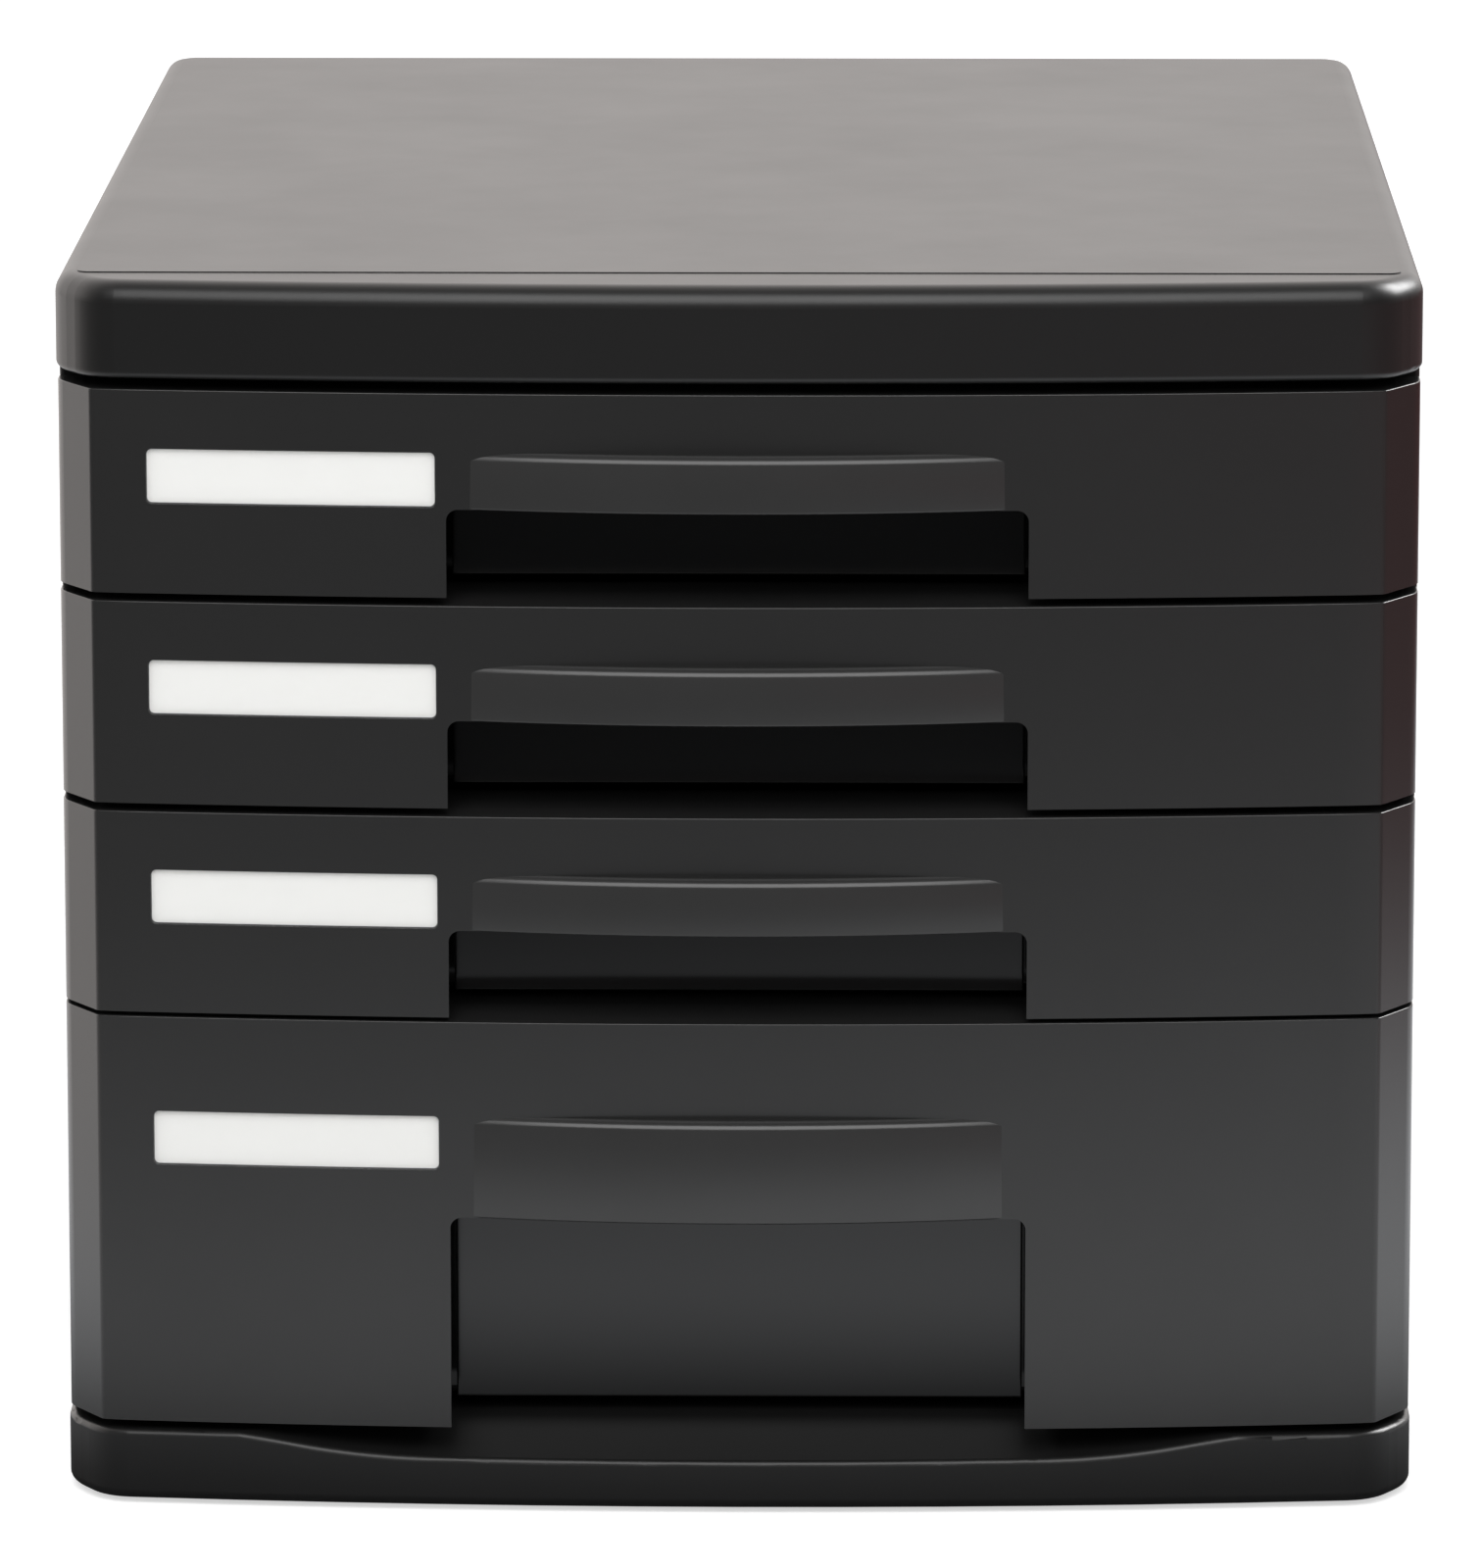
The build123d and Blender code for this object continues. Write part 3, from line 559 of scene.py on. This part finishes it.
def floor_material(studio):
    """Pale studio floor. The camera sees it lifted to white with the object's shadow, and gloss sees the bright
    table that ends in front of the object and to its right, and takes the backdrop's colour on the left."""
    material = bpy.data.materials.new("pale_studio_floor")
    material.use_nodes = True
    tree = material.node_tree
    tree.nodes.clear()
    path = add_node(tree, "ShaderNodeLightPath")
    paper = add_node(tree, "ShaderNodeBsdfDiffuse", {"Color": (*studio.floor, 1)})
    lift = add_node(
        tree, "ShaderNodeMath", {0: path.outputs["Is Camera Ray"], 1: studio.floor_lift}, operation="MULTIPLY"
    )
    glow = add_node(tree, "ShaderNodeEmission", {"Strength": lift.outputs["Value"]})
    seen = add_node(tree, "ShaderNodeAddShader", {0: paper.outputs["BSDF"], 1: glow.outputs["Emission"]})
    place = add_node(tree, "ShaderNodeNewGeometry").outputs["Position"]
    along = add_node(tree, "ShaderNodeVectorMath", {0: place, 1: studio.table_way}, operation="DOT_PRODUCT")
    lit = add_node(
        tree, "ShaderNodeMapRange",
        {"Value": along.outputs["Value"], "From Min": -studio.table_front, "From Max": 0.0,
         "To Min": studio.table_least, "To Max": studio.table},
        interpolation_type="SMOOTHSTEP",
    )
    # Painted shadow: the table's glow in the gloss is darkened close round the unit, where the unit keeps light off
    # it
    mirrored_place = add_node(tree, "ShaderNodeVectorMath", {0: place}, operation="ABSOLUTE")
    beyond = add_node(
        tree, "ShaderNodeVectorMath", {0: mirrored_place.outputs["Vector"], 1: CAD_BOX[1]}, operation="SUBTRACT"
    )
    outside = add_node(
        tree, "ShaderNodeVectorMath", {0: beyond.outputs["Vector"], 1: (0.0, 0.0, 0.0)}, operation="MAXIMUM"
    )
    away = add_node(tree, "ShaderNodeVectorMath", {0: outside.outputs["Vector"]}, operation="LENGTH")
    contact = add_node(
        tree, "ShaderNodeMapRange",
        {"Value": away.outputs["Value"], "From Max": studio.contact, "To Min": studio.contact_least},
        interpolation_type="SMOOTHSTEP",
    )
    table = add_node(
        tree, "ShaderNodeMath", {0: lit.outputs["Result"], 1: contact.outputs["Result"]}, operation="MULTIPLY"
    )
    across = add_node(tree, "ShaderNodeSeparateXYZ", {"Vector": place}).outputs["X"]
    leftward = add_node(
        tree, "ShaderNodeMapRange",
        {"Value": across, "From Min": -studio.warm_from, "From Max": -studio.warm_to},
        interpolation_type="SMOOTHSTEP",
    )
    hue = add_node(
        tree, "ShaderNodeMix",
        {"Factor": leftward.outputs["Result"], "A": (*studio.table_white, 1), "B": (*studio.warm_white, 1)},
        data_type="RGBA",
    )
    bright = add_node(
        tree, "ShaderNodeVectorMath", {0: hue.outputs["Result"], "Scale": table.outputs["Value"]}, operation="SCALE"
    )
    rightward = add_node(
        tree, "ShaderNodeMapRange",
        {"Value": across, "From Min": studio.wall_from, "From Max": studio.wall_to},
        interpolation_type="SMOOTHSTEP",
    )
    toned = add_node(
        tree, "ShaderNodeMix",
        {"Factor": rightward.outputs["Result"], "A": bright.outputs["Vector"], "B": (*studio.dark_wall, 1)},
        data_type="RGBA",
    )
    mirrored = add_node(tree, "ShaderNodeEmission", {"Color": toned.outputs["Result"]})
    whole = add_node(
        tree, "ShaderNodeMixShader",
        {0: path.outputs["Is Glossy Ray"], 1: seen.outputs["Shader"], 2: mirrored.outputs["Emission"]},
    )
    add_node(tree, "ShaderNodeOutputMaterial", {"Surface": whole.outputs["Shader"]})
    return material


def studio_world(studio):
    """White surroundings for the camera and for soft light. Gloss sees them bright behind and to the left of the
    object, and dark in front and to the right."""
    world = bpy.data.worlds.new("white_studio")
    world.use_nodes = True
    tree = world.node_tree
    tree.nodes.clear()
    path = add_node(tree, "ShaderNodeLightPath")
    way = add_node(
        tree, "ShaderNodeVectorMath",
        {0: add_node(tree, "ShaderNodeTexCoord").outputs["Generated"], 1: studio.backdrop_way},
        operation="DOT_PRODUCT",
    )
    mirrored = add_node(
        tree, "ShaderNodeMapRange",
        {"Value": way.outputs["Value"], "From Min": studio.backdrop_from, "From Max": studio.backdrop_to,
         "To Min": studio.backdrop_least, "To Max": studio.backdrop},
        interpolation_type="SMOOTHSTEP",
    )
    hue = add_node(
        tree, "ShaderNodeMix",
        {"Factor": path.outputs["Is Glossy Ray"], "A": (1, 1, 1, 1), "B": (*studio.warm_white, 1)},
        data_type="RGBA",
    )
    shaded = add_node(
        tree, "ShaderNodeMix",
        {"Factor": path.outputs["Is Glossy Ray"], "A": studio.sky, "B": mirrored.outputs["Result"]},
    )
    strength = add_node(
        tree, "ShaderNodeMix",
        {"Factor": path.outputs["Is Camera Ray"], "A": shaded.outputs["Result"], "B": 1.0},
    )
    light = add_node(
        tree, "ShaderNodeBackground", {"Color": hue.outputs["Result"], "Strength": strength.outputs["Result"]}
    )
    add_node(tree, "ShaderNodeOutputWorld", {"Surface": light.outputs["Background"]})
    return world


class DRAWERUNIT_OT_studio(bpy.types.Operator):
    """Make the pale floor, the soft light and the camera"""

    bl_idname = "drawer_unit.studio"
    bl_label = "Studio"

    def execute(self, context):
        scene = context.scene
        studio = scene.drawer_studio
        half = studio.floor_size / 2
        mesh = bpy.data.meshes.new("floor")
        mesh.from_pydata([(-half, -half, 0), (half, -half, 0), (half, half, 0), (-half, half, 0)], [], [(0, 1, 2, 3)])
        mesh.materials.append(floor_material(studio))
        floor = bpy.data.objects.new("floor", mesh)
        scene.collection.objects.link(floor)
        scene.world = studio_world(studio)
        for name, place, size, power in (
            ("rim_softbox", studio.rim_place, studio.rim_size, studio.rim_power),
            ("key_softbox", studio.key_place, studio.key_size, studio.key_power),
        ):
            light = bpy.data.lights.new(name, "AREA")
            light.size = size
            light.energy = power
            softbox = bpy.data.objects.new(name, light)
            softbox.location = place
            softbox.rotation_euler = (-softbox.location).to_track_quat("-Z", "Y").to_euler()
            softbox.visible_camera = False
            softbox.visible_diffuse = name != "rim_softbox"
            scene.collection.objects.link(softbox)
        lens = bpy.data.cameras.new("camera")
        lens.lens = studio.focal_length
        lens.clip_end = studio.floor_size
        camera = bpy.data.objects.new("camera", lens)
        turn = Matrix.Rotation(-studio.camera_yaw, 4, "Z")
        tilt = Matrix.Rotation(math.pi / 2 - studio.camera_pitch, 4, "X")
        lean = Matrix.Rotation(studio.camera_roll, 4, "Z")
        camera.matrix_world = Matrix.Translation(studio.camera_place) @ turn @ tilt @ lean
        scene.collection.objects.link(camera)
        scene.camera = camera
        scene.view_settings.view_transform = "Standard"
        return {"FINISHED"}


OPERATORS = (
    DRAWERUNIT_OT_case, DRAWERUNIT_OT_fronts, DRAWERUNIT_OT_pull_lips, DRAWERUNIT_OT_trays,
    DRAWERUNIT_OT_labels, DRAWERUNIT_OT_fittings, DRAWERUNIT_OT_studio,
)
SETTINGS = {
    "drawer_plastic": PlasticFinish, "drawer_lips": PullLips, "drawer_labels": LabelFinish,
    "drawer_fittings": FittingFinish, "drawer_studio": Studio,
}


class DRAWERUNIT_PT_sidebar(bpy.types.Panel):
    """Operators and settings of the drawer unit"""

    bl_idname = "DRAWERUNIT_PT_sidebar"
    bl_label = "Drawer unit"
    bl_space_type = "VIEW_3D"
    bl_region_type = "UI"
    bl_category = "Drawer unit"

    def draw(self, context):
        for operator in OPERATORS:
            self.layout.operator(operator.bl_idname)
        for name, group in SETTINGS.items():
            box = self.layout.box()
            for value in group.__annotations__:
                box.prop(getattr(context.scene, name), value)


def register():
    for group in (*SETTINGS.values(), *OPERATORS, DRAWERUNIT_PT_sidebar):
        bpy.utils.register_class(group)
    for name, group in SETTINGS.items():
        setattr(bpy.types.Scene, name, PointerProperty(type=group))


def unregister():
    for name in SETTINGS:
        delattr(bpy.types.Scene, name)
    for group in (DRAWERUNIT_PT_sidebar, *OPERATORS, *SETTINGS.values()):
        bpy.utils.unregister_class(group)


def main():
    register()
    bpy.ops.drawer_unit.case()
    bpy.ops.drawer_unit.fronts()
    bpy.ops.drawer_unit.pull_lips()
    bpy.ops.drawer_unit.trays()
    bpy.ops.drawer_unit.labels()
    bpy.ops.drawer_unit.fittings()
    bpy.ops.drawer_unit.studio()


if __name__ == "__main__":
    main()
